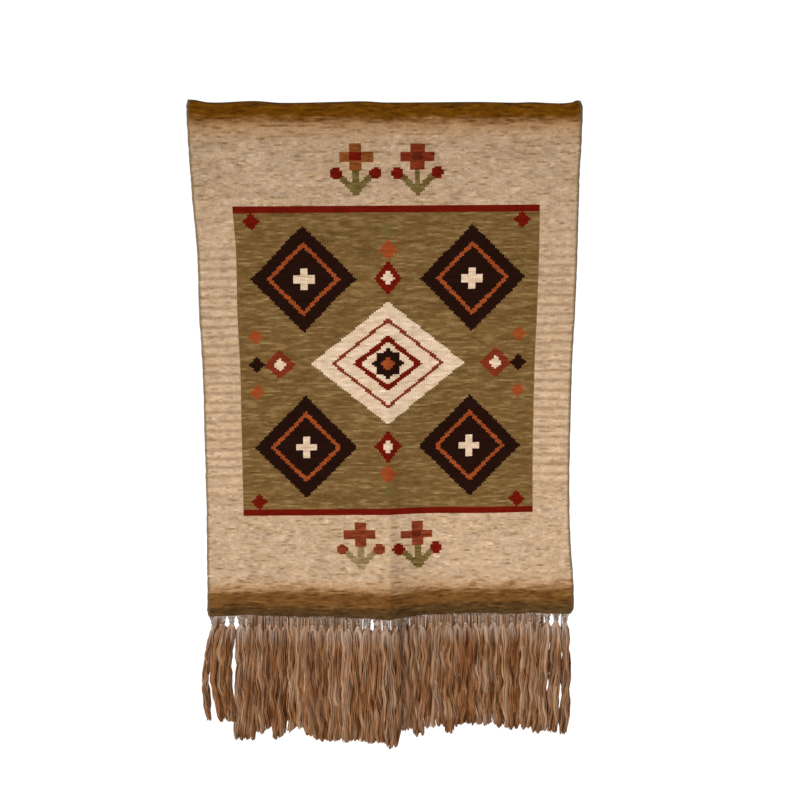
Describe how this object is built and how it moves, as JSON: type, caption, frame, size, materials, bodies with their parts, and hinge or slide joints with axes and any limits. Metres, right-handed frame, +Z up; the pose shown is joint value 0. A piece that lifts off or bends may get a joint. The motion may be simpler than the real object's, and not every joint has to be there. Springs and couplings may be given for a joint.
{
  "type": "textile wall hanging",
  "caption": "Flat-woven wool wall hanging with a patterned panel, striped ends and a knotted tassel fringe along its lower edge.",
  "frame": {"origin": "middle of the cloth's top edge, on the back, in the wall plane y = 0", "axes": "+Z up the wall, +X to the right as seen from the front, front towards -Y"},
  "size_m": [0.6129, 0.0282, 1.0399],
  "materials": {
    "woven_wool": "flat-woven wool, heathered, matt",
    "fringe_wool": "loosely spun wool yarn, matt"
  },
  "bodies": {
    "root": {"woven_cloth": "woven_wool", "knotted_fringe": "fringe_wool"}
  },
  "joints": []
}
